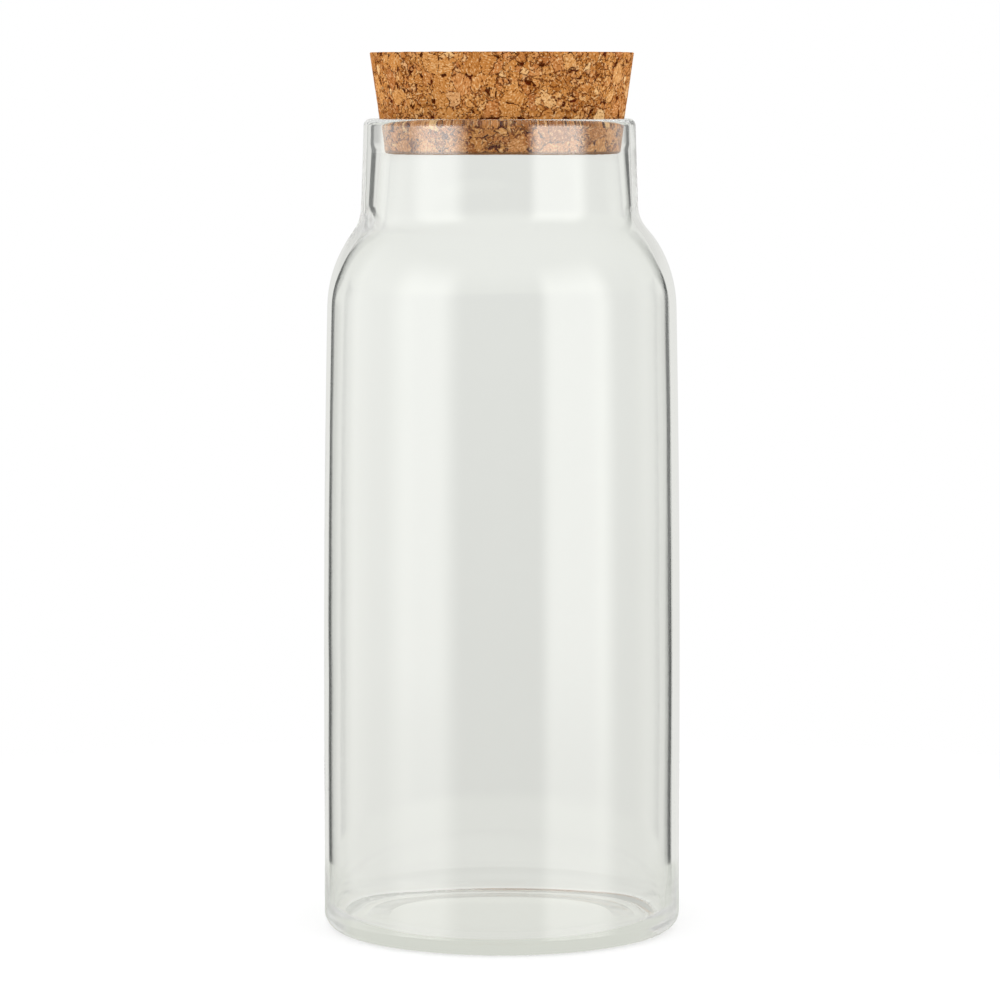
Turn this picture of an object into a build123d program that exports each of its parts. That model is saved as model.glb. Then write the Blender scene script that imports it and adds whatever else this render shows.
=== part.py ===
from build123d import *
import os
from math import acos, asin, atan, ceil, cos, degrees, hypot, radians, sin, tan

# Clear glass storage jar with a tapered cork stopper.
# Millimetres, +Z up. The origin is the middle of the circle on which the jar stands.
# Both pieces are turned shapes: an outline drawn as radius and height, and turned about Z.

# Driving sizes of the glass body
body_radius = 47.5          # outside, over the lower part of the body
glass_height = 215.7        # from the table to the top of the lip
wall = 2.4                  # blown wall of body and shoulder
draw_in = 1.2               # how much slimmer the body is where the shoulder starts
draw_in_length = 110.0      # height over which the body draws in

# Shoulder, crease and neck
shoulder_curve = 33.6       # outside radius of the round shoulder
crease_curve = 10.1         # radius of the hollow where shoulder meets neck
neck_radius = 36.65         # outside, at the foot of the neck
neck_height = 23.2          # from the end of the crease to the top of the lip
neck_lean = 1.92            # degrees that the outside of the neck leans in towards the lip
neck_wall = 3.0             # thickness of the wall at the foot of the neck

# Lip, a fire-polished bead that bulges into the mouth and ends in a half round
lip_thickness = 3.7
lip_land = 3.4              # upright stretch of the mouth under the half round
mouth_curve = 30.0          # bulge of the mouth below that stretch

# Base, hollow underneath so that the jar stands on a ring
floor_height = 1.8          # from the table to the level floor inside
push_up = 0.4               # height of the hollow under the base
push_up_radius = 36.5       # where the hollow ends and the standing ring starts
push_up_slope = 6.5         # width over which the hollow rises to its full height
outer_heel = 4.2            # outside rounding from base to wall
inner_heel = 6.2            # inside rounding from floor to wall, where the glass is thickest

# Cork stopper
cork_height = 26.0
cork_stand = 17.4           # height of the cork above the lip
cork_taper = 8.3            # degrees from upright to its side
cork_top_edge = 0.25        # sanded chamfer of the upper edge
cork_foot_edge = 0.3        # sanded chamfer of the lower edge
seat_gap = 0.1              # running gap between cork and lip

# The small rounds are turned as narrow bands, which leave the true round by no more than this
round_fineness = 0.05


# Sizes worked out from those above
lean = radians(neck_lean)
taper = radians(cork_taper)
lip_round = lip_thickness / 2
neck_foot = glass_height - neck_height
lip_centre_height = glass_height - lip_round
lip_outside = neck_radius - (lip_centre_height - neck_foot) * tan(lean)
lip_centre_radius = lip_outside - lip_round / cos(lean)
mouth_radius = lip_centre_radius - lip_round

# The body draws in along one long arc, which leaves it leaning in very slightly
shoulder_radius = body_radius - draw_in
draw_in_curve = (draw_in_length**2 + draw_in**2) / (2 * draw_in)
shoulder_lean = asin(draw_in_length / draw_in_curve)

# Turn at which the round shoulder passes over into the hollow crease, from the way in
# that the two arcs have to cover together
way_in = shoulder_radius - neck_radius
turn = acos(
    (shoulder_curve * cos(shoulder_lean) + crease_curve * cos(lean) - way_in)
    / (shoulder_curve + crease_curve)
)

# Centres of the arcs as radius and height, worked down from the neck
crease_centre = (
    neck_radius + crease_curve * cos(lean),
    neck_foot + crease_curve * sin(lean),
)
shoulder_centre = (
    crease_centre[0] - (shoulder_curve + crease_curve) * cos(turn),
    crease_centre[1] - (shoulder_curve + crease_curve) * sin(turn),
)
shoulder_foot = shoulder_centre[1] + shoulder_curve * sin(shoulder_lean)
draw_in_foot = shoulder_foot - draw_in_length
draw_in_centre = (body_radius - draw_in_curve, draw_in_foot)

# Inside, the neck is straight too, but it leans in more: it has its own thickness at its foot
# and runs into the long curve of the mouth
mouth_centre = (mouth_radius + mouth_curve, lip_centre_height - lip_land)
inner_foot = (neck_radius - neck_wall / cos(lean), neck_foot)
way_up = (mouth_centre[0] - inner_foot[0], mouth_centre[1] - inner_foot[1])
inner_lean = atan(way_up[1] / way_up[0]) - acos(mouth_curve / hypot(*way_up))

# The inside of the crease touches that straight line and the inside of the shoulder
inner_crease = crease_curve + wall
out_of_line = (
    (inner_foot[0] - shoulder_centre[0]) * cos(inner_lean)
    + (inner_foot[1] - shoulder_centre[1]) * sin(inner_lean)
)
inner_turn = inner_lean + acos((out_of_line + inner_crease) / (shoulder_curve + crease_curve))
inner_crease_centre = (
    shoulder_centre[0] + (shoulder_curve + crease_curve) * cos(inner_turn),
    shoulder_centre[1] + (shoulder_curve + crease_curve) * sin(inner_turn),
)


def small_round(centre, radius, start, end):
    """A round from one angle to another, as chords that stay within the fineness."""
    widest = 2 * degrees(acos(1 - round_fineness / radius))
    count = ceil(abs(end - start) / widest)
    angles = [start + (end - start) * i / count for i in range(count + 1)]
    return Polyline(*[Vector(*centre) + Vector(radius, 0).rotate(Axis.Z, a) for a in angles])


def body_rounds(inset, shoulder_end):
    """The draw-in and the shoulder, inset from the outside; the shoulder ends at that turn."""
    draw = CenterArc(draw_in_centre, draw_in_curve - inset, 0, degrees(shoulder_lean))
    shoulder_span = degrees(shoulder_end - shoulder_lean)
    shoulder = CenterArc(
        shoulder_centre, shoulder_curve - inset, degrees(shoulder_lean), shoulder_span
    )
    return draw, shoulder


def outside_line():
    """From the middle of the underside, round the heel and up to the lip's half round."""
    draw, shoulder = body_rounds(0, turn)
    crease = small_round(crease_centre, crease_curve, degrees(turn) + 180, neck_lean + 180)
    heel = small_round((body_radius - outer_heel, outer_heel), outer_heel, -90, 0)
    base = Polyline(
        (0, push_up), (push_up_radius - push_up_slope, push_up), (push_up_radius, 0), heel @ 0
    )
    side = Line(heel @ 1, draw @ 0)
    lip_centre = (lip_centre_radius, lip_centre_height)
    lip = [
        small_round(lip_centre, lip_round, neck_lean, 90),
        small_round(lip_centre, lip_round, 90, 180),
    ]
    neck = Line(crease @ 1, lip[0] @ 0)
    return [base, heel, side, draw, shoulder, crease, neck] + lip


def inside_line():
    """From the mouth, down the neck and the parallel wall to the middle of the floor."""
    draw, shoulder = body_rounds(wall, inner_turn)
    straight = degrees(inner_lean) + 180
    mouth = small_round(mouth_centre, mouth_curve, 180, straight)
    land = Line((mouth_radius, lip_centre_height), mouth @ 0)
    crease = small_round(inner_crease_centre, inner_crease, straight, degrees(inner_turn) + 180)
    neck = Line(mouth @ 1, crease @ 0)
    heel_centre = (body_radius - wall - inner_heel, floor_height + inner_heel)
    heel = small_round(heel_centre, inner_heel, -90, 0)
    side = Line(heel @ 1, draw @ 0)
    floor = Line(heel @ 0, (0, floor_height))
    return [land, mouth, neck, crease, shoulder, draw, side, heel, floor]


def turned(lines):
    """Turns a closed outline of radius and height about the upright axis."""
    return revolve(Plane.XZ * make_face(lines), Axis.Z)


def glass_jar():
    """One blown glass shell, open at the mouth."""
    middle = Line((0, push_up), (0, floor_height))
    return turned(outside_line() + inside_line() + [middle])


def cork_stopper():
    """Tapered cork that wedges against the inner side of the lip."""
    seat_radius = lip_centre_radius - (lip_round + seat_gap) / cos(taper)
    foot = glass_height + cork_stand - cork_height
    top = foot + cork_height
    foot_radius = seat_radius - (lip_centre_height - foot) * tan(taper)
    top_radius = foot_radius + cork_height * tan(taper)
    side = Polyline(
        (0, foot),
        (foot_radius - cork_foot_edge, foot),
        (foot_radius + cork_foot_edge * tan(taper), foot + cork_foot_edge),
        (top_radius - cork_top_edge * tan(taper), top - cork_top_edge),
        (top_radius - cork_top_edge, top),
        (0, top),
        close=True,
    )
    print("cork radius at its foot, lip and top", foot_radius, seat_radius, top_radius)
    return turned([side])


def main():
    os.makedirs("parts", exist_ok=True)
    pieces = {"glass_jar": glass_jar(), "cork_stopper": cork_stopper()}
    for name, piece in pieces.items():
        piece.label = name
        export_step(piece, f"parts/{name}.step")
        print(name, "volume", piece.volume, "box", piece.bounding_box())
    print("shoulder starts at", shoulder_foot, "neck foot at", neck_foot, "mouth radius", mouth_radius)


main()
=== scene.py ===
# %% [markdown]
# A storage jar of clear blown glass, closed by a tapered stopper of pressed cork granules.
# The packed model is the fixed frame: it says how large the jar is and where the stopper sits.
# Two pieces are made here around it, the glass and the cork. Both are turned shapes, so each
# starts as an outline of radius and height. Everything is in metres, with +Z up.

# %% Load the frame
from math import acos, asin, atan, ceil, cos, degrees, hypot, pi, radians, sin, tan

import bpy
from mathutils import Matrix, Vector


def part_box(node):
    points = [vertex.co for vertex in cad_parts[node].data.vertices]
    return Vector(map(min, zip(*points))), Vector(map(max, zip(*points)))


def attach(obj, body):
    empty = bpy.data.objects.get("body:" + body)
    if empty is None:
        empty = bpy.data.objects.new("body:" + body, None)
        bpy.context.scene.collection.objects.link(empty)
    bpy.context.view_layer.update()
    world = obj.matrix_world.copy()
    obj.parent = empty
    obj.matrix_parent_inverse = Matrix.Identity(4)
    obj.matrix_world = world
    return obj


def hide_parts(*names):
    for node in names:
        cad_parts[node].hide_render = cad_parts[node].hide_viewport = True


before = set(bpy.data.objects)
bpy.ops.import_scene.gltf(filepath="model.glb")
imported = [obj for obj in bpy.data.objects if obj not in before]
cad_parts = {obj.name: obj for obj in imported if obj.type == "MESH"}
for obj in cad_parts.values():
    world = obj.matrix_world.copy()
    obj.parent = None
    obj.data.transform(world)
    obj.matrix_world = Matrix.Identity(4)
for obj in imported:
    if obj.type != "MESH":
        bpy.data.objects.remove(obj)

scene = bpy.context.scene
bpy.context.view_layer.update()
MM = 0.001

# %% [markdown]
# Finishes are node trees, and most of what a node tree does is arithmetic. A small class wraps
# one output socket, so that a sum of two sockets is written as a sum in Python.

# %% A wrapper for sockets
class Wire:
    """One output socket, which Python's operators can work with as with a number."""

    def __init__(self, nodes, socket):
        self.nodes, self.socket = nodes, socket

    def maths(self, operation, *values):
        """A Math node of that operation."""
        return self.nodes.add("ShaderNodeMath", {"operation": operation}, dict(enumerate(values)))

    def __add__(self, other):
        return self.maths("ADD", self, other)

    def __sub__(self, other):
        return self.maths("SUBTRACT", self, other)

    def __rsub__(self, other):
        return self.maths("SUBTRACT", other, self)

    def __mul__(self, other):
        return self.maths("MULTIPLY", self, other)

    def __gt__(self, other):
        return self.maths("GREATER_THAN", self, other)

    def __abs__(self):
        return self.maths("ABSOLUTE", self)

    __radd__, __rmul__ = __add__, __mul__


print("sockets can be added, multiplied and compared")

# %% [markdown]
# Every other node comes from one method of a second class, which takes the kind of node, its
# settings and what goes into its sockets. The same class serves for surface finishes, for the
# surroundings and for carving. A few more of its methods wrap what is needed again and again.

# %% A wrapper for node trees
class Nodes:
    """The node tree of one finish."""

    def __init__(self, tree):
        self.tree = tree
        tree.nodes.clear()

    def add(self, kind, settings=None, sockets=None, out=0):
        """A node of that kind, with its settings and with sockets by name or number."""
        node = self.tree.nodes.new(kind)
        for name, value in (settings or {}).items():
            if name == "stops":
                self.set_stops(node.color_ramp, value)
            else:
                setattr(node, name, value)
        for key, value in (sockets or {}).items():
            if isinstance(value, Wire):
                self.tree.links.new(value.socket, node.inputs[key])
            else:
                node.inputs[key].default_value = value
        return Wire(self, node.outputs[out]) if node.outputs else node

    def set_stops(self, ramp, stops):
        """Colours of a ramp, each with its place from 0 to 1."""
        while len(ramp.elements) < len(stops):
            ramp.elements.new(1)
        for element, (place, colour) in zip(ramp.elements, stops):
            element.position, element.color = place, (*colour, 1)

    def ease(self, value, low, high):
        """Rises softly from 0 at low to 1 at high; it falls where low is the larger one."""
        sockets = {"Value": value, "From Min": low, "From Max": high}
        if low > high:
            sockets.update({"From Min": high, "From Max": low, "To Min": 1, "To Max": 0})
        return self.add("ShaderNodeMapRange", {"interpolation_type": "SMOOTHSTEP"}, sockets)

    def blend(self, share, first, second):
        """A colour on the way from the first to the second."""
        # A Mix node has the sockets 6 and 7 for its two colours, and output 2 for their mix
        sockets = {0: share, 6: first, 7: second}
        return self.add("ShaderNodeMix", {"data_type": "RGBA"}, sockets, out=2)

    def parts(self, vector):
        """The three parts of a vector."""
        split = self.add("ShaderNodeSeparateXYZ", sockets={0: vector}).socket.node
        return [Wire(self, output) for output in split.outputs]

    def scaled(self, vector, factor):
        """The same vector made longer or shorter."""
        sockets = {0: vector, "Scale": factor}
        return self.add("ShaderNodeVectorMath", {"operation": "SCALE"}, sockets)

    def vector(self, operation, *values, out=0):
        """A Vector Math node of that operation."""
        settings = {"operation": operation}
        return self.add("ShaderNodeVectorMath", settings, dict(enumerate(values)), out)


print("a node tree can", ", ".join(name for name in vars(Nodes) if not name.startswith("_")))

# %% [markdown]
# Colours are easiest to choose as they look on a screen, while nodes count in light. What a
# screen shows at half its level is only about a fifth of the light.

# %% Colours
SCREEN_STEPS = 255
SCREEN_GREY = (128, 128, 128)
CURVE_START, STRAIGHT_SLOPE = 0.04045, 12.92
CURVE_LIFT, CURVE_POWER = 0.055, 2.4


def rgb(red, green, blue):
    """A colour as it is read off a screen, from 0 to 255, turned into light."""
    return [light_of(level / SCREEN_STEPS) for level in (red, green, blue)]


def light_of(level):
    """The light of a screen level: a straight line near black, and a curve above it."""
    if level > CURVE_START:
        return ((level + CURVE_LIFT) / (1 + CURVE_LIFT)) ** CURVE_POWER
    return level / STRAIGHT_SLOPE


def opaque(colour):
    """The same colour with the fourth number that a colour socket wants."""
    return (*colour, 1)


print("a screen's middle grey is", round(rgb(*SCREEN_GREY)[0], 2), "of its white")

# %% [markdown]
# The camera looks almost level at the jar from a little over a metre away, from just under the
# top of the cork, tilted down a few degrees. That hides the cork's flat top and gives the slim
# ellipse at the foot. No shift of the lens is needed for this framing. Light goes to and fro in
# the thick heel of a jar many times before it leaves, so its paths may be long: where they are
# cut short, the heel gets dark streaks that real glass doesn't have.

# %% Camera
CAMERA_AWAY = 1179.6 * MM
CAMERA_HEIGHT = 224.5 * MM
CAMERA_ASIDE = -0.5 * MM
HORIZON_ABOVE_MIDDLE = 415
FOCAL_LENGTH_IN_PIXELS = 4448
PICTURE_WIDTH = 1000
SENSOR_WIDTH = 36
NEAREST, FARTHEST = 0.05, 20
PATH_STEPS = 400

eye = bpy.data.objects.new("eye", bpy.data.cameras.new("eye"))
scene.collection.objects.link(eye)
eye.data.sensor_width = SENSOR_WIDTH
eye.data.lens = FOCAL_LENGTH_IN_PIXELS / PICTURE_WIDTH * SENSOR_WIDTH
eye.data.clip_start, eye.data.clip_end = NEAREST, FARTHEST
eye.location = (CAMERA_ASIDE, -CAMERA_AWAY, CAMERA_HEIGHT)
tilt = atan(HORIZON_ABOVE_MIDDLE / FOCAL_LENGTH_IN_PIXELS)
eye.rotation_euler = (pi / 2 - tilt, 0, 0)
scene.camera = eye
scene.view_settings.view_transform = "Standard"
scene.cycles.max_bounces = PATH_STEPS
scene.cycles.transmission_bounces = scene.cycles.glossy_bounces = PATH_STEPS
print("lens", round(eye.data.lens, 1), "mm, tilted down by", round(degrees(tilt), 2), "degrees")

# %% [markdown]
# Clear glass has no colour to speak of, so it is drawn by what surrounds it. A product
# photographer stands it before a bright panel and puts black cards beside the panel, just out of
# view: the edge of the wall bends the cards into thin dark lines. Two tall soft boxes beside the
# camera give the two upright lanes of light. These surroundings could be built as cards around
# the jar, but a world that depends on direction does the same without noise, and from all sides.
# The view straight through the glass, with nothing reflected on the way, always sees the bright
# panel, so that the jar is as clear from behind as from the front. Light that was reflected to
# and fro inside the glass arrives from everywhere at once, so it gets one calm level.

# %% Surroundings
world = bpy.data.worlds.new("studio")
scene.world = world
world.use_nodes = True
air = Nodes(world.node_tree)
heading = air.add("ShaderNodeTexCoord", out="Generated")
across, along, upward = air.parts(heading)
aside = across.maths("ARCTAN2", across, along) * degrees(1)
rise = upward.maths("ARCSINE", upward) * degrees(1)
rays = air.add("ShaderNodeLightPath").socket.node.outputs
seen_by = {name: Wire(air, rays[name]) for name in rays.keys()}
reflected_once = seen_by["Is Glossy Ray"] > seen_by["Is Transmission Ray"]
print("rays are told apart by", len(seen_by), "outputs")

# %% [markdown]
# Every direction is now two angles in degrees: how far aside of straight ahead past the jar,
# and how far it rises above level. The panel is nearly straight ahead, a card at each side of it,
# and the plain walls of the room beyond, a little lighter next to the cards and darkest behind
# the camera. Cards and walls fade into a pale ceiling, and below the edge of the table there is
# only its top. Edges are soft, because hard ones would be drawn in the glass as cuts.

# %% Panel, cards and room
PANEL_MIDDLE, PANEL_HALF, PANEL_BLUR = 3, 27, 1
PANEL_MORE_OUTSIDE, PANEL_MORE_HIGH = 5, 4
PANEL_LEVEL, PANEL_LESS_ABOVE, LESS_RISES = 0.8, 0.08, (4, 9)
CARD_EDGE, CARD_BLUR = 34.8, 2
CARD_MORE_HIGH, CARD_MORE_LOW = 8, 4
HIGH_RISES, LOW_RISES = (0, 10), (-3.5, -8)
CARD_TONE, FADED_CARD, CARD_FADES = (0.02, 0.026, 0.022), (0.79, 0.79, 0.79), (10, 40)
ROOM_LEVEL, BEHIND_LEVEL, ROOM_EDGE, ROOM_BLUR = 0.45, 0.15, 110, 6
NEAR_LEVEL, NEAR_STARTS, NEAR_FADES, NEAR_RISES = 0.3, (40, 54), (80, 60), (0, 3)
CEILING_LEVEL, CEILING_LESS_OUTSIDE, CEILING_RISES = 0.85, 0.35, (12, 40)
FLOOR_LINE, FLOOR_BLUR, FLOOR_TONE = -10.2, 0.4, (0.67, 0.685, 0.655)

from_panel = abs(aside - PANEL_MIDDLE)
high_up = air.ease(rise, *HIGH_RISES)
card_edge = from_panel - CARD_MORE_HIGH * high_up - CARD_MORE_LOW * air.ease(rise, *LOW_RISES)
card = air.blend(air.ease(rise, *CARD_FADES), opaque(CARD_TONE), opaque(FADED_CARD))
in_room = air.ease(from_panel, ROOM_EDGE + ROOM_BLUR, ROOM_EDGE - ROOM_BLUR)
room = BEHIND_LEVEL + (ROOM_LEVEL - BEHIND_LEVEL) * in_room
beside = air.ease(from_panel, *NEAR_STARTS) * air.ease(from_panel, *NEAR_FADES)
above = air.ease(from_panel, *NEAR_STARTS[::-1]) * air.ease(rise, *NEAR_RISES)
room = room + NEAR_LEVEL * beside + NEAR_LEVEL * above
ceiling = CEILING_LEVEL - CEILING_LESS_OUTSIDE * reflected_once
room = air.blend(air.ease(rise, *CEILING_RISES), room, ceiling)
at_card = air.ease(card_edge, CARD_EDGE - CARD_BLUR, CARD_EDGE + CARD_BLUR)
around = air.blend(at_card, card, room)
panel_edge = from_panel - PANEL_MORE_OUTSIDE * reflected_once - PANEL_MORE_HIGH * high_up
at_panel = air.ease(panel_edge, PANEL_HALF + PANEL_BLUR, PANEL_HALF - PANEL_BLUR)
panel = PANEL_LEVEL - PANEL_LESS_ABOVE * air.ease(rise, *LESS_RISES)
sides = air.blend(at_panel, around, panel)
at_floor = air.ease(rise, FLOOR_LINE + FLOOR_BLUR, FLOOR_LINE - FLOOR_BLUR)
sides = air.blend(at_floor, sides, opaque(FLOOR_TONE))
print("the panel is", 2 * PANEL_HALF, "degrees wide and the cards end at", CARD_EDGE)

# %% [markdown]
# Two tall soft boxes stand beside the camera, with a faint glow at the jar's left. Only rays that
# come straight off the surface of the glass show them, so that the lanes stay single and clean.
# Then each kind of ray is told what it sees. One that was mirrored once sees the panel, the
# cards and the room, one that went straight through sees the calm panel, and one that was
# mirrored twice or more sees a calm level. What isn't glass gets plain light, and the camera
# itself sees white.

# %% Soft boxes, and which ray sees what
LEFT_BOX, RIGHT_BOX = (98, 118, 137, 156), (97, 116, 146, 158)
LEFT_GLOW, GLOW_SHARE = (56, 72, 100, 118), 0.3
BOX_LEVEL, BOX_FOOT_SHARE, FOOT_RISES = 4.0, 0.55, (-11, -6)
BOX_STARTS, BOX_FADES = (FLOOR_LINE - 3, FLOOR_LINE - 1.2), (46, 14)
MIRROR_TONE = (1, 1, 0.972)
THROUGH_HIGH, THROUGH_LOW, THROUGH_RISES = (0.868, 0.872, 0.878), (0.797, 0.796, 0.796), (-11, -1)
THROUGH_FLOOR, BELOW_RISES = (0.753, 0.753, 0.75), (-11, -14)
DEEP_LOW, DEEP_HIGH, DEEP_RISES = 0.77, 0.54, (15, 35)
PLAIN_LIGHT = (0.55, 0.55, 0.55)
WHITE = (1, 1, 1)


def lane(edges, angle):
    """One soft box: full between the inner two of four angles, and fading to the outer two."""
    start, full, fading, end = edges
    return air.ease(angle, start, full) * air.ease(angle, end, fading)


box_sides = lane(LEFT_BOX, 0 - aside) + lane(RIGHT_BOX, aside)
box_sides = box_sides + GLOW_SHARE * lane(LEFT_GLOW, 0 - aside)
box_ends = air.ease(rise, *BOX_STARTS) * air.ease(rise, *BOX_FADES)
box_light = BOX_FOOT_SHARE + (1 - BOX_FOOT_SHARE) * air.ease(rise, *FOOT_RISES)
boxes = BOX_LEVEL * box_light * box_sides * box_ends * reflected_once
mirrored = air.vector("MULTIPLY", air.vector("ADD", sides, boxes), MIRROR_TONE)
through = air.blend(air.ease(rise, *THROUGH_RISES), opaque(THROUGH_LOW), opaque(THROUGH_HIGH))
through = air.blend(air.ease(rise, *BELOW_RISES), through, opaque(THROUGH_FLOOR))
seen_in_glass = air.blend(seen_by["Glossy Depth"] > 0, through, mirrored)
deep = DEEP_LOW + (DEEP_HIGH - DEEP_LOW) * air.ease(rise, *DEEP_RISES)
seen_in_glass = air.blend(seen_by["Glossy Depth"] > 1, seen_in_glass, deep)
in_glass = seen_by["Is Glossy Ray"] + seen_by["Is Transmission Ray"]
seen = air.blend(in_glass > 0, opaque(PLAIN_LIGHT), seen_in_glass)
seen = air.blend(seen_by["Is Camera Ray"], seen, opaque(WHITE))
backdrop = air.add("ShaderNodeBackground", sockets={"Color": seen, "Strength": 1})
air.add("ShaderNodeOutputWorld", sockets={"Surface": backdrop})
print("the world has", len(world.node_tree.nodes), "nodes")

# %% [markdown]
# The lamps give the cork its modelling and the floor its shadow. Four soft lamps stand round the
# jar at the corners of a rectangle, so that front and back are lit alike, and so are left and
# right. The lanes in the glass already come from the surroundings, so the lamps themselves stay
# out of sight.

# %% Lamps
LAMP_AWAY = 0.9
LAMP_HEIGHT = 0.55
LAMP_WIDTH, LAMP_TALL = 0.45, 0.6
LAMP_POWER = 3.6
LAMP_TURNS = (52, 128, 232, 308)
LAMP_AIM = Vector((0, 0, 0.16))

lamps = []
for turn in LAMP_TURNS:
    data = bpy.data.lights.new(f"softbox_{turn}", "AREA")
    data.shape, data.size, data.size_y = "RECTANGLE", LAMP_WIDTH, LAMP_TALL
    data.energy = LAMP_POWER
    lamp = bpy.data.objects.new(data.name, data)
    scene.collection.objects.link(lamp)
    lamp.location = (LAMP_AWAY * sin(radians(turn)), -LAMP_AWAY * cos(radians(turn)), LAMP_HEIGHT)
    aim = LAMP_AIM - lamp.location
    lamp.rotation_euler = aim.to_track_quat("-Z", "Y").to_euler()
    lamp.visible_camera = lamp.visible_glossy = lamp.visible_transmission = False
    lamps.append(lamp)
print(len(lamps), "lamps of", LAMP_POWER, "watts")

# %% [markdown]
# The floor is a plain white disc that keeps the shadow of the jar and fades out before its rim
# could show. It is made of rings round a small middle, not of a single flat face, and lies a
# hair below the jar so that the two never share a surface. Glass rays pass it by, so that the
# jar's walls show the bright panel and not the edge of the disc.

# %% Shape of the floor
FLOOR_RADIUS = 0.42
FLOOR_DROP = 0.05 * MM
FLOOR_RINGS = 12
FLOOR_SIDES = 96


def ring_fan(rings, sides):
    """Points and faces of rings about the upright axis, given as radius and height."""
    points, faces = [], []
    for radius, height in rings:
        angles = [2 * pi * i / sides for i in range(sides)]
        points += [(radius * cos(a), radius * sin(a), height) for a in angles]
    for k in range(len(rings) - 1):
        for i in range(sides):
            j = (i + 1) % sides
            faces.append((k * sides + i, k * sides + j, (k + 1) * sides + j, (k + 1) * sides + i))
    faces.append(tuple(range(sides))[::-1])
    return points, faces


def new_piece(name, points, faces):
    """A smooth mesh object made from the points and faces as they are given."""
    mesh = bpy.data.meshes.new(name)
    mesh.from_pydata(points, [], faces)
    mesh.shade_smooth()
    piece = bpy.data.objects.new(name, mesh)
    scene.collection.objects.link(piece)
    return piece


rings = [(FLOOR_RADIUS * k / FLOOR_RINGS, -FLOOR_DROP) for k in range(1, FLOOR_RINGS + 1)]
floor = new_piece("floor", *ring_fan(rings, FLOOR_SIDES))
floor.visible_glossy = floor.visible_transmission = False
print("floor", round(2 * FLOOR_RADIUS, 2), "m across")

# %% [markdown]
# The floor is as dull as paper. A sheet of clear finish is mixed in more and more with the
# distance from the jar, so that the white of the paper runs out into the white behind it.

# %% Finish of the floor
PAPER_TONE, PAPER_ROUGHNESS = (0.94, 0.94, 0.94), 0.5
FADE_START, FADE_END = 0.16, 0.36


def new_finish(name):
    """A material and the wrapper of its node tree."""
    material = bpy.data.materials.new(name)
    material.use_nodes = True
    return material, Nodes(material.node_tree)


floor_finish, paint = new_finish("floor_paint")
spot = paint.add("ShaderNodeTexCoord", out="Object")
reach = paint.vector("LENGTH", spot, out="Value")
paper_sockets = {"Color": opaque(PAPER_TONE), "Roughness": PAPER_ROUGHNESS}
paper = paint.add("ShaderNodeBsdfDiffuse", sockets=paper_sockets)
clear = paint.add("ShaderNodeBsdfTransparent")
fade = paint.ease(reach, FADE_START, FADE_END)
cover = paint.add("ShaderNodeMixShader", sockets={0: fade, 1: paper, 2: clear})
paint.add("ShaderNodeOutputMaterial", sockets={"Surface": cover})
floor.data.materials.append(floor_finish)
print("the floor finish has", len(paint.tree.nodes), "nodes")

# %% [markdown]
# The glass is one shell without seam or mould line. Its outline goes from the middle of the
# underside round the heel, up the wall, over the shoulder and the neck, round the lip and back
# down the inside to the floor. It could be a lathe modifier on a curve, but worked-out arcs keep
# the inside parallel to the outside, and parallel walls decide how glass bends the light.

# %% Sizes of the glass
low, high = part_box("glass_jar")
BODY_RADIUS = high.x
GLASS_HEIGHT = high.z
WALL, NECK_WALL = 2.4 * MM, 3.0 * MM
DRAW_IN, DRAW_IN_LENGTH = 1.2 * MM, 110 * MM
SHOULDER_CURVE, CREASE_CURVE = 33.6 * MM, 10.1 * MM
NECK_RADIUS, NECK_HEIGHT, NECK_LEAN = 36.65 * MM, 23.2 * MM, radians(1.92)
LIP_THICKNESS, LIP_LAND, MOUTH_CURVE = 3.7 * MM, 3.4 * MM, 30 * MM
FLOOR_HEIGHT, PUSH_UP, PUSH_UP_RADIUS, PUSH_UP_SLOPE = 1.8 * MM, 0.4 * MM, 36.5 * MM, 6.5 * MM
OUTER_HEEL, INNER_HEEL = 4.2 * MM, 6.2 * MM
POINT_SPACING, POINT_TURN = 3 * MM, radians(4)
NEAR_END = 0.25 * MM
SAME_PLACE = 0.001 * MM


def arc(centre, radius, start, end):
    """Points along a round, its ends included, close enough together to look smooth."""
    span = abs(end - start)
    count = max(ceil(span / POINT_TURN), ceil(span * radius / POINT_SPACING))
    angles = [start + (end - start) * i / count for i in range(count + 1)]
    return [(centre[0] + radius * cos(a), centre[1] + radius * sin(a)) for a in angles]


def joined(*stretches):
    """One line through all the stretches, with straight runs between them cut into steps.

    A straight run also gets a point close to each end. Smooth shading blends the directions of
    neighbouring faces, and that point keeps the blend from reaching far into the straight.
    """
    line = [stretches[0][0]]
    for point in (p for stretch in stretches for p in stretch):
        step = hypot(point[0] - line[-1][0], point[1] - line[-1][1])
        count = ceil(step / POINT_SPACING)
        ahead = [i / count for i in range(1, count + 1)] if step > SAME_PLACE else []
        if count > 1:
            ahead = [NEAR_END / step] + ahead[:-1] + [1 - NEAR_END / step, 1]
        x, z = line[-1]
        line += [(x + (point[0] - x) * t, z + (point[1] - z) * t) for t in ahead]
    return line


across_and_tall = [round(v / MM, 2) for v in (2 * BODY_RADIUS, GLASS_HEIGHT)]
print("glass is", across_and_tall, "mm across and tall")

# %% [markdown]
# The outline is worked out from the sizes: the neck and the lip first, then the long draw-in of
# the body, then the round shoulder and the hollow crease, which have to meet in between. From the
# heel to the lip the arcs and straights touch one another without a corner.

# %% Outside of the glass
lip_round = LIP_THICKNESS / 2
neck_foot = GLASS_HEIGHT - NECK_HEIGHT
lip_centre_height = GLASS_HEIGHT - lip_round
lip_outside = NECK_RADIUS - (lip_centre_height - neck_foot) * tan(NECK_LEAN)
lip_centre = (lip_outside - lip_round / cos(NECK_LEAN), lip_centre_height)
mouth_radius = lip_centre[0] - lip_round

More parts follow.
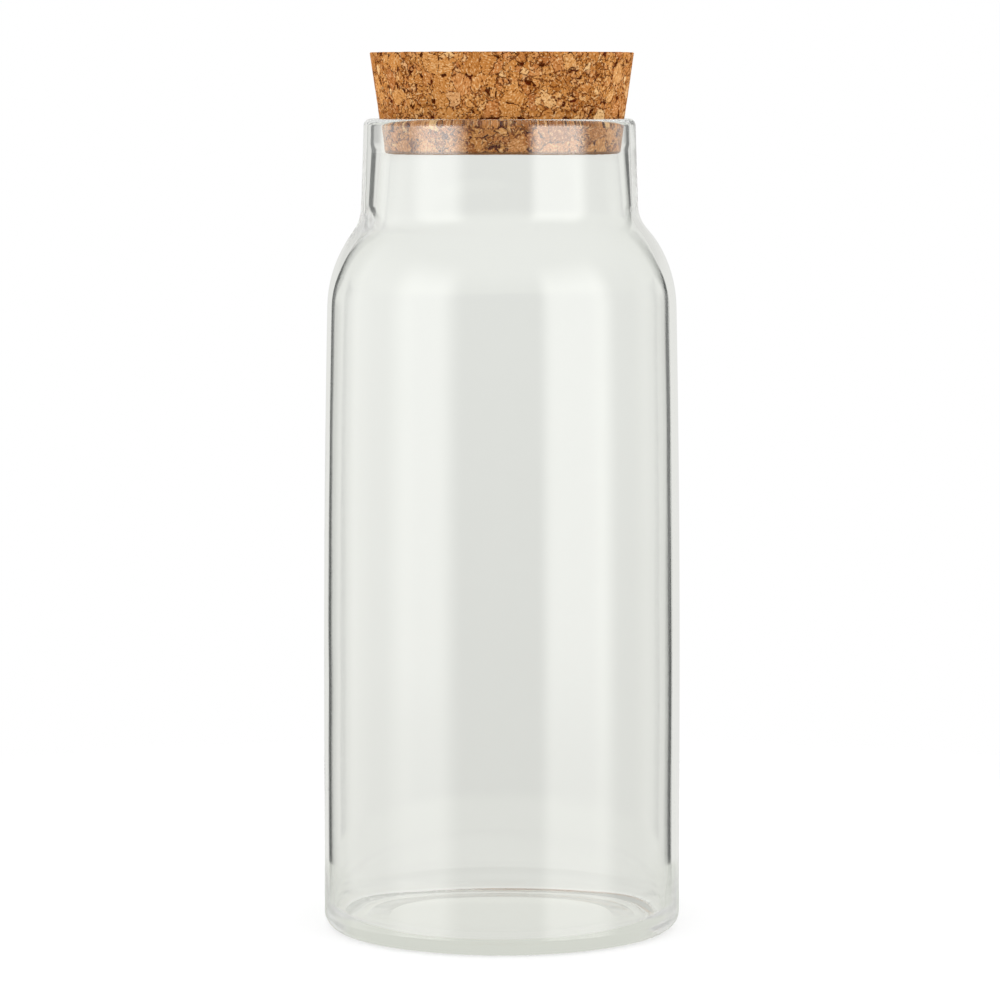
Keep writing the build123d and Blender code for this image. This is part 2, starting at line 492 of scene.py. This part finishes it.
draw_in_curve = (DRAW_IN_LENGTH**2 + DRAW_IN**2) / (2 * DRAW_IN)
shoulder_lean = asin(DRAW_IN_LENGTH / draw_in_curve)
way_in = BODY_RADIUS - DRAW_IN - NECK_RADIUS
both_curves = SHOULDER_CURVE + CREASE_CURVE
shoulder_turn = acos(
    (SHOULDER_CURVE * cos(shoulder_lean) + CREASE_CURVE * cos(NECK_LEAN) - way_in) / both_curves
)
crease_centre = (
    NECK_RADIUS + CREASE_CURVE * cos(NECK_LEAN),
    neck_foot + CREASE_CURVE * sin(NECK_LEAN),
)
shoulder_centre = (
    crease_centre[0] - both_curves * cos(shoulder_turn),
    crease_centre[1] - both_curves * sin(shoulder_turn),
)
draw_in_foot = shoulder_centre[1] + SHOULDER_CURVE * sin(shoulder_lean) - DRAW_IN_LENGTH
draw_in_centre = (BODY_RADIUS - draw_in_curve, draw_in_foot)
crease_start = crease_centre[1] - CREASE_CURVE * sin(shoulder_turn)
print("crease from", round(crease_start / MM, 1), "to", round(neck_foot / MM, 1), "mm up")

# %% [markdown]
# Inside, body and shoulder run parallel to the outside. The neck leans in more than it does
# outside, so that the glass thickens to the full lip, and it touches the long curve of the mouth
# in which the cork is wedged.

# %% Inside of the glass
mouth_centre = (mouth_radius + MOUTH_CURVE, lip_centre_height - LIP_LAND)
inner_foot = (NECK_RADIUS - NECK_WALL / cos(NECK_LEAN), neck_foot)
way_up = (mouth_centre[0] - inner_foot[0], mouth_centre[1] - inner_foot[1])
inner_lean = atan(way_up[1] / way_up[0]) - acos(MOUTH_CURVE / hypot(*way_up))
inner_crease = CREASE_CURVE + WALL
reach_in = inner_foot[0] - shoulder_centre[0], inner_foot[1] - shoulder_centre[1]
reach_in = reach_in[0] * cos(inner_lean) + reach_in[1] * sin(inner_lean) + inner_crease
inner_turn = inner_lean + acos(reach_in / both_curves)
inner_crease_centre = (
    shoulder_centre[0] + both_curves * cos(inner_turn),
    shoulder_centre[1] + both_curves * sin(inner_turn),
)
print("inside of the neck leans in by", round(degrees(inner_lean), 2), "degrees")

# %% [markdown]
# With all the centres known, each of the two outlines is one line from the axis to the mouth,
# where they meet in the same point.

# %% Both outlines
outside = joined(
    [(0, PUSH_UP), (PUSH_UP_RADIUS - PUSH_UP_SLOPE, PUSH_UP), (PUSH_UP_RADIUS, 0)],
    arc((BODY_RADIUS - OUTER_HEEL, OUTER_HEEL), OUTER_HEEL, -pi / 2, 0),
    arc(draw_in_centre, draw_in_curve, 0, shoulder_lean),
    arc(shoulder_centre, SHOULDER_CURVE, shoulder_lean, shoulder_turn),
    arc(crease_centre, CREASE_CURVE, shoulder_turn + pi, NECK_LEAN + pi),
    arc(lip_centre, lip_round, NECK_LEAN, pi),
)
inside = joined(
    [(0, FLOOR_HEIGHT)],
    arc((BODY_RADIUS - WALL - INNER_HEEL, FLOOR_HEIGHT + INNER_HEEL), INNER_HEEL, -pi / 2, 0),
    arc(draw_in_centre, draw_in_curve - WALL, 0, shoulder_lean),
    arc(shoulder_centre, SHOULDER_CURVE - WALL, shoulder_lean, inner_turn),
    arc(inner_crease_centre, inner_crease, inner_turn + pi, inner_lean + pi),
    arc(mouth_centre, MOUTH_CURVE, inner_lean + pi, pi),
    [(mouth_radius, lip_centre_height)],
)
print("outlines of", len(outside), "points outside and", len(inside), "inside")

# %% [markdown]
# Blown glass is never quite even. The outside took the shape of its mould, while the inside ran
# free, so the wall is thicker on one side than on the other, grows a little towards the foot and
# has slow, shallow waves. All are moves of less than half a millimetre, made on the points of the
# inside as they are turned. The outside of the neck stands about as little out of the middle,
# while the mouth stays true for the cork. Such small faults show at once in clear glass: they
# decide how strong the dark line of each wall is, and how far down it runs.

# %% Turn the glass
GLASS_SIDES = 256
THICK_SIDE_SHIFT, SHIFT_FADES = 0.45 * MM, 150 * MM
NECK_SHIFT, NECK_SHIFT_STARTS = 0.6 * MM, 182 * MM
FOOT_THICKER_SHARE = 0.009
THICKER_BELOW, THICKEST_BELOW = 16 * MM, 6 * MM
WAVE_HEIGHT, WAVE_LENGTH, WAVE_STARTS = 0.03 * MM, 47 * MM, 20 * MM
WAVES = ((3, 1, 0), (5, -0.7, 2), (2, 1.6, 4))


def wave(angle, height):
    """Slow waves of blown glass, from -1 to 1, that run round it and climb as they go."""
    up = 2 * pi * height / WAVE_LENGTH
    return sum(sin(turns * angle + climbs * up + start) for turns, climbs, start in WAVES) / 3


def soft_step(value, low, high):
    """Rises softly from 0 at low to 1 at high, on either side of which it stays level."""
    share = min(max((value - low) / (high - low), 0), 1)
    return share * share * (3 - 2 * share)


def turned_glass():
    """Points and faces of the shell, with one point in the middle of the base on each side."""
    # Up the outside and down the inside, with the point they share taken once and the axis left out
    line = outside[1:] + inside[1:][::-1][1:]
    first_inside = len(outside) - 1
    points, faces = [], []
    for k, (radius, height) in enumerate(line):
        runs_free = k >= first_inside
        if runs_free:
            radius *= 1 - FOOT_THICKER_SHARE * soft_step(height, THICKER_BELOW, THICKEST_BELOW)
        below_neck = 1 - soft_step(height, SHIFT_FADES, neck_foot)
        wavy = soft_step(height, FLOOR_HEIGHT, WAVE_STARTS) * below_neck
        neck = soft_step(height, NECK_SHIFT_STARTS, neck_foot)
        neck *= soft_step(radius, mouth_radius, lip_outside)
        for i in range(GLASS_SIDES):
            angle = 2 * pi * i / GLASS_SIDES
            shift = -THICK_SIDE_SHIFT * below_neck if runs_free else -NECK_SHIFT * neck
            reach = radius + (WAVE_HEIGHT * wavy * wave(angle, height) if runs_free else 0)
            points.append((reach * cos(angle) + shift, reach * sin(angle), height))
    for k in range(len(line) - 1):
        for i in range(GLASS_SIDES):
            j = (i + 1) % GLASS_SIDES
            a, b = k * GLASS_SIDES, (k + 1) * GLASS_SIDES
            faces.append((a + i, a + j, b + j, b + i))
    under, over = len(points), len(points) + 1
    points += [(0, 0, outside[0][1]), (-THICK_SIDE_SHIFT, 0, inside[0][1])]
    last = (len(line) - 1) * GLASS_SIDES
    for i in range(GLASS_SIDES):
        j = (i + 1) % GLASS_SIDES
        faces.append((under, j, i))
        faces.append((over, last + i, last + j))
    return points, faces


glass = new_piece("blown_glass", *turned_glass())
print("glass mesh has", len(glass.data.polygons), "faces")

# %% [markdown]
# The finish of the glass is clear and smooth. A trace of green comes from its own colour. The
# drawing of the glass leaves faint upright streaks, so a shallow bump stretched along the height
# ruffles the reflections a little. Roughness stays at zero but for a few dull specks of dust. The
# lip is fire-polished: down to the cork's foot its outside shines more than twice as much, and
# the soft boxes lie as a pale veil over the cork behind it. A coat adds that shine, and it is
# kept away from where the round of the lip turns from the eye, or its end would show as a line.

# %% Finish of the glass
GLASS_TINT, DARKER_STREAK = (0.985, 0.992, 0.966), 0.995
GLASS_BENDING, POLISH_BENDING = 1.47, 1.65
STREAKS_PER_METRE, RIPPLE_DEPTH, RIPPLE_STRENGTH = (60, 60, 6), 0.02 * MM, 0.05
SPECKS_PER_METRE, SPECK_EDGE, SPECK_ROUGHNESS = 900, (0.74, 0.8), 0.15
POLISH_FOOT, POLISH_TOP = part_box("cork_stopper")[0].z, GLASS_HEIGHT - LIP_THICKNESS / 2
FOOT_BLUR, TOP_BLUR = 0.5 * MM, 0.3 * MM
TURNED_AWAY, EVEN_BLEND = (0.72, 0.5), 0.5

glass_finish, melt = new_finish("clear_glass")
spot = melt.add("ShaderNodeTexCoord", out="Object")
drawn = melt.vector("MULTIPLY", spot, STREAKS_PER_METRE)
streaks = melt.add("ShaderNodeTexNoise", sockets={"Vector": drawn, "Scale": 1, "Detail": 2})
ripple = melt.add(
    "ShaderNodeBump",
    sockets={"Strength": RIPPLE_STRENGTH, "Distance": RIPPLE_DEPTH, "Height": streaks},
)
speck_sockets = {"Vector": spot, "Scale": SPECKS_PER_METRE, "Detail": 1}
dust = melt.ease(melt.add("ShaderNodeTexNoise", sockets=speck_sockets), *SPECK_EDGE)
darker = opaque([DARKER_STREAK * v for v in GLASS_TINT])
tint = melt.blend(streaks, opaque(GLASS_TINT), darker)
side_x, side_y, height = melt.parts(spot)
flat_spot = melt.add("ShaderNodeCombineXYZ", sockets={"X": side_x, "Y": side_y})
outer_side = melt.vector("LENGTH", flat_spot, out="Value") > lip_centre[0]
polish = melt.ease(height, POLISH_FOOT - FOOT_BLUR, POLISH_FOOT)
polish = polish * melt.ease(height, POLISH_TOP + TOP_BLUR, POLISH_TOP) * outer_side
facing = melt.add("ShaderNodeLayerWeight", sockets={"Blend": EVEN_BLEND}, out="Facing")
polish = polish * melt.ease(facing, *TURNED_AWAY)
clear_body = melt.add(
    "ShaderNodeBsdfPrincipled",
    sockets={
        "Base Color": tint,
        "Roughness": SPECK_ROUGHNESS * dust,
        "IOR": GLASS_BENDING,
        "Transmission Weight": 1,
        "Coat Weight": polish,
        "Coat Roughness": 0,
        "Coat IOR": POLISH_BENDING,
        "Normal": ripple,
    },
)
melt.add("ShaderNodeOutputMaterial", sockets={"Surface": clear_body})
glass.data.materials.append(glass_finish)
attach(glass, "jar")
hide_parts("glass_jar")
print("the glass finish has", len(melt.tree.nodes), "nodes")

# %% [markdown]
# The stopper is a tapered plug, sanded from a block of pressed cork granules. The side is a grid
# of rings. The flat ends need care: a fan of triangles would be far too fine in the middle and
# too coarse outside. So each end is a square grid bent into a disc, which keeps its cells about
# the same size and ends in evenly spaced points that meet the rings of the side.

# %% Shape of the cork
low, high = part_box("cork_stopper")
CORK_FOOT, CORK_TOP, CORK_WIDEST = low.z, high.z, high.x
CORK_TAPER = radians(8.3)
TOP_EDGE, FOOT_EDGE = 0.25 * MM, 0.3 * MM
CELL = 0.42 * MM
END_CELLS = 2 * round(pi * CORK_WIDEST / 4 / CELL)


def bent_square(row, column):
    """A point of a square grid bent into a disc of radius 1, as x and y."""
    x, y = 2 * row / END_CELLS - 1, 2 * column / END_CELLS - 1
    if x == y == 0:
        return 0, 0
    if abs(x) > abs(y):
        return x * cos(pi / 4 * y / x), x * sin(pi / 4 * y / x)
    return y * sin(pi / 4 * x / y), y * cos(pi / 4 * x / y)


def square_rim():
    """Grid places along the rim of the square, anticlockwise, starting from a corner."""
    n = END_CELLS
    rim = [(n, j) for j in range(n)] + [(i, n) for i in range(n, 0, -1)]
    return rim + [(0, j) for j in range(n, 0, -1)] + [(i, 0) for i in range(n)]


def cork_rings():
    """Radius and height of the rings of the side, from below to above."""
    slope = tan(CORK_TAPER)
    side_top = CORK_TOP - TOP_EDGE
    side_foot = CORK_FOOT + FOOT_EDGE
    rows = ceil((side_top - side_foot) / CELL)
    heights = [side_foot + (side_top - side_foot) * k / rows for k in range(rows + 1)]
    rings = [(CORK_WIDEST - (side_top - z) * slope, z) for z in heights]
    foot = (CORK_WIDEST - (side_top - CORK_FOOT) * slope - FOOT_EDGE, CORK_FOOT)
    top = (CORK_WIDEST + TOP_EDGE * slope - TOP_EDGE, CORK_TOP)
    return foot, rings, top


print("cork ends have", END_CELLS, "cells each way")

# %% [markdown]
# The mesh is the two ends and the rings of the side, joined loop by loop from below to above.
# Its cells are about half a millimetre across, fine enough to carve the granules into them.

# %% Mesh of the cork
def cork_mesh():
    """Points and faces of the plug: the foot, the rings of the side, the top."""
    foot, rings, top = cork_rings()
    rim = square_rim()
    n, around = END_CELLS, len(rim)
    points, faces = [], []
    for radius, height in (foot, top):
        grid = [bent_square(i, j) for i in range(n + 1) for j in range(n + 1)]
        points += [(radius * x, radius * y, height) for x, y in grid]
    end_points = (n + 1) ** 2
    for start, up in ((0, False), (end_points, True)):
        for i in range(n):
            for j in range(n):
                a = start + i * (n + 1) + j
                face = (a, a + n + 1, a + n + 2, a + 1)
                faces.append(face if up else face[::-1])
    for radius, height in rings:
        places = [bent_square(i, j) for i, j in rim]
        points += [(radius * x, radius * y, height) for x, y in places]
    loops = [[i * (n + 1) + j for i, j in rim]]
    loops += [[2 * end_points + k * around + i for i in range(around)] for k in range(len(rings))]
    loops += [[end_points + i * (n + 1) + j for i, j in rim]]
    for under, over in zip(loops, loops[1:]):
        for i in range(around):
            j = (i + 1) % around
            faces.append((under[i], under[j], over[j], over[i]))
    return points, faces


cork = new_piece("pressed_cork", *cork_mesh())
print("cork mesh has", len(cork.data.polygons), "faces")

# %% [markdown]
# The granules differ in size and tone, and each keeps the grain of the bark it was cut from. The
# same cells shape both the surface and the finish: large cells, some of which are split up into
# small ones. The distance to the edge of a cell makes the seams between the granules, and here
# and there a seam opens into a pit.

# %% Granules
GRANULE, SMALL_GRANULE, SPLIT_SHARE = 4.4 * MM, 1.9 * MM, 0.5
EDGE_WANDER, WANDERS_PER_METRE = 2.2 * MM, 520
FAR_FROM_EDGE = 10 * MM
PIT_WIDTH, PIT_PATCHES, PATCHES_PER_METRE = (0.36 * MM, 0.16 * MM), (0.575, 0.62), 420
NOISE_MIDDLE = (0.5, 0.5, 0.5)


def granules(tree, spot):
    """Random colour of the granule, distance to its edge, and how much of a pit there is."""
    sockets = {"Vector": spot, "Scale": WANDERS_PER_METRE, "Detail": 4}
    wander = tree.add("ShaderNodeTexNoise", sockets=sockets, out="Color")
    wander = tree.vector("SUBTRACT", wander, NOISE_MIDDLE)
    place = tree.vector("ADD", spot, tree.scaled(wander, EDGE_WANDER))
    kinds = []
    for size in (GRANULE, SMALL_GRANULE):
        common = {"Vector": place, "Scale": 1 / size, "Randomness": 1}
        colour = tree.add("ShaderNodeTexVoronoi", sockets=common, out="Color")
        edge = tree.add("ShaderNodeTexVoronoi", {"feature": "DISTANCE_TO_EDGE"}, common) * size
        kinds.append((colour, edge))
    (large, large_edge), (small, small_edge) = kinds
    split = tree.parts(large)[2] > 1 - SPLIT_SHARE
    colour = tree.blend(split, large, small)
    small_edge = small_edge + FAR_FROM_EDGE * (1 - split)
    edge = large_edge.maths("MINIMUM", large_edge, small_edge)
    sockets = {"Vector": spot, "Scale": PATCHES_PER_METRE, "Detail": 3}
    patches = tree.add("ShaderNodeTexNoise", sockets=sockets)
    pits = tree.ease(edge, *PIT_WIDTH) * tree.ease(patches, *PIT_PATCHES)
    return colour, edge, pits


print("granules of", round(GRANULE / MM, 1), "and", round(SMALL_GRANULE / MM, 1), "mm")

# %% [markdown]
# Pits and seams are carved into the mesh itself, inward along its surface, because their shadows
# tell the eye that cork is not a printed pattern. A modifier made of nodes does it, so that it
# can ask the same cells as the finish how deep it has to go at each point.

# %% Relief of the cork
PIT_DEPTH, SEAM_DEPTH, SEAM_WIDTH = 0.45 * MM, 0.05 * MM, 0.3 * MM
LEVEL_DEPTH = 0.08 * MM

carving = bpy.data.node_groups.new("granule_relief", "GeometryNodeTree")
carving.interface.new_socket("Geometry", in_out="INPUT", socket_type="NodeSocketGeometry")
carving.interface.new_socket("Geometry", in_out="OUTPUT", socket_type="NodeSocketGeometry")
carve = Nodes(carving)
surface = carve.add("NodeGroupInput")
colour, edge, pits = granules(carve, carve.add("GeometryNodeInputPosition"))
depth = PIT_DEPTH * pits + SEAM_DEPTH * carve.ease(edge, SEAM_WIDTH, 0)
depth = depth + LEVEL_DEPTH * carve.parts(colour)[0]
inward = carve.scaled(carve.add("GeometryNodeInputNormal"), 0 - depth)
carved = carve.add("GeometryNodeSetPosition", sockets={"Geometry": surface, "Offset": inward})
carve.add("NodeGroupOutput", sockets={0: carved})
relief = cork.modifiers.new("granule_relief", "NODES")
relief.node_group = carving
print("relief has", len(carving.nodes), "nodes")

# %% [markdown]
# Every granule has its own tone of tan, and a streaky grain runs through it in its own
# direction, with pale fibres, browner ones and small pores. The seams are dark only here and
# there, because well pressed granules touch. Pits are painted dark brown, which is painted shade
# of their hollows laid on top of the real shadow of the carving, and a few of them are purplish
# from the outer bark. A painted picture could do this too, but it would have to be wrapped round
# the plug, while these cells go right through the block, as the granules do.

# %% Colour of the cork
TONES = (
    (0.0, rgb(172, 105, 44)),
    (0.3, rgb(202, 133, 67)),
    (0.7, rgb(213, 145, 77)),
    (0.9, rgb(227, 163, 96)),
    (1.0, rgb(250, 203, 142)),
)
# The dark brown of the pits is painted shade of their hollows, and the bark purple is the bark's
# own colour
REDDISH, STREAK_BROWN, SEAM_BROWN = rgb(196, 118, 74), rgb(146, 84, 28), rgb(110, 44, 2)
PIT_SHADE_BROWN, BARK_PURPLE, PALE_CORK = rgb(92, 30, 0), rgb(104, 32, 14), rgb(252, 212, 158)
REDDISH_FROM, BARK_FROM = (0.5, 1), (0.6, 0.7)
FIBRES_PER_METRE, MOTTLES_PER_METRE = (2600, 1000, 1900), 1500
PALE_FIBRES, BROWN_FIBRES = (0.46, 0.34), (0.5, 0.62)
PORE_FIBRES, PORE_MOTTLES = (0.6, 0.67), (0.46, 0.56)
DARK_SEAM_WIDTH, DARK_SEAM_MOTTLES = (0.2 * MM, 0.06 * MM), (0.47, 0.55)
REDDISH_COVER, PALE_COVER, BROWN_COVER = 0.35, 0.65, 0.45
PORE_COVER, SEAM_COVER, PIT_SHADE_AND_BARK_COVER = 0.85, 0.82, 0.95
GRAIN_TURN = 6

cork_finish, grain = new_finish("cork")
spot = grain.add("ShaderNodeTexCoord", out="Object")
colour, edge, pits = granules(grain, spot)
tone, warmth = grain.parts(colour)[:2]
turned_spot = grain.add(
    "ShaderNodeVectorRotate",
    {"rotation_type": "EULER_XYZ"},
    {"Vector": spot, "Rotation": grain.scaled(colour, GRAIN_TURN)},
)
fibre_spot = grain.vector("MULTIPLY", turned_spot, FIBRES_PER_METRE)
fibres = grain.add("ShaderNodeTexNoise", sockets={"Vector": fibre_spot, "Scale": 1, "Detail": 4})
mottle_sockets = {"Vector": spot, "Scale": MOTTLES_PER_METRE, "Detail": 3}
mottle = grain.add("ShaderNodeTexNoise", sockets=mottle_sockets)
pores = grain.ease(fibres, *PORE_FIBRES) * grain.ease(mottle, *PORE_MOTTLES)
dark_seams = grain.ease(edge, *DARK_SEAM_WIDTH) * grain.ease(mottle, *DARK_SEAM_MOTTLES)
# The colour of a pit: painted shade in dark brown, turning to the bark's own purple in the warmer
# granules
pit_shade_and_bark = grain.blend(grain.ease(warmth, *BARK_FROM), opaque(PIT_SHADE_BROWN), opaque(BARK_PURPLE))
base = grain.add("ShaderNodeValToRGB", {"stops": TONES}, {0: tone})
for share, over in (
    (REDDISH_COVER * grain.ease(warmth, *REDDISH_FROM), opaque(REDDISH)),
    (PALE_COVER * grain.ease(fibres, *PALE_FIBRES), opaque(PALE_CORK)),
    (BROWN_COVER * grain.ease(fibres, *BROWN_FIBRES), opaque(STREAK_BROWN)),
    (PORE_COVER * pores, opaque(SEAM_BROWN)),
    (SEAM_COVER * dark_seams, opaque(SEAM_BROWN)),
    # Pits: painted shade in dark brown, with bark purple in the warmer granules
    (PIT_SHADE_AND_BARK_COVER * pits, pit_shade_and_bark),
):
    base = grain.blend(share, base, over)
print("the cork has", len(TONES), "tones, with fibres, pores, seams and pits laid over them")

# %% [markdown]
# What is dark also lies a little deeper, so it goes into a bump as well. That gives the finest
# relief, for which the cells of the mesh are too large. Sanded cork is matt all over, and the
# pale granules a little less so.

# %% Finish of the cork
CORK_RELIEF, FIBRE_SHARE, SEAM_SHARE, PORE_SHARE = 0.3 * MM, 0.5, 0.7, 0.5
CORK_ROUGHNESS, PALE_LESS_ROUGH, CORK_SHEEN = 0.9, 0.15, 0.02

height = -FIBRE_SHARE * fibres - pits - SEAM_SHARE * dark_seams - PORE_SHARE * pores
rough = grain.add(
    "ShaderNodeBump", sockets={"Strength": 1, "Distance": CORK_RELIEF, "Height": height}
)
matt = grain.add(
    "ShaderNodeBsdfPrincipled",
    sockets={
        "Base Color": base,
        "Roughness": CORK_ROUGHNESS - PALE_LESS_ROUGH * tone,
        "Specular IOR Level": CORK_SHEEN,
        "Normal": rough,
    },
)
grain.add("ShaderNodeOutputMaterial", sockets={"Surface": matt})
cork.data.materials.append(cork_finish)
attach(cork, "stopper")
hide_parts("cork_stopper")
print("the cork finish has", len(grain.tree.nodes), "nodes")

# %% [markdown]
# Clear glass casts next to no shadow here, and a lamp's shadow through it would be costly to
# trace. So the lamps are told that only cork and floor can hold back their light.

# %% What holds back the lamps
in_the_way = bpy.data.collections.new("in_the_way_of_lamps")
for piece in (cork, floor):
    in_the_way.objects.link(piece)
for lamp in lamps:
    lamp.light_linking.blocker_collection = in_the_way

# %% [markdown]
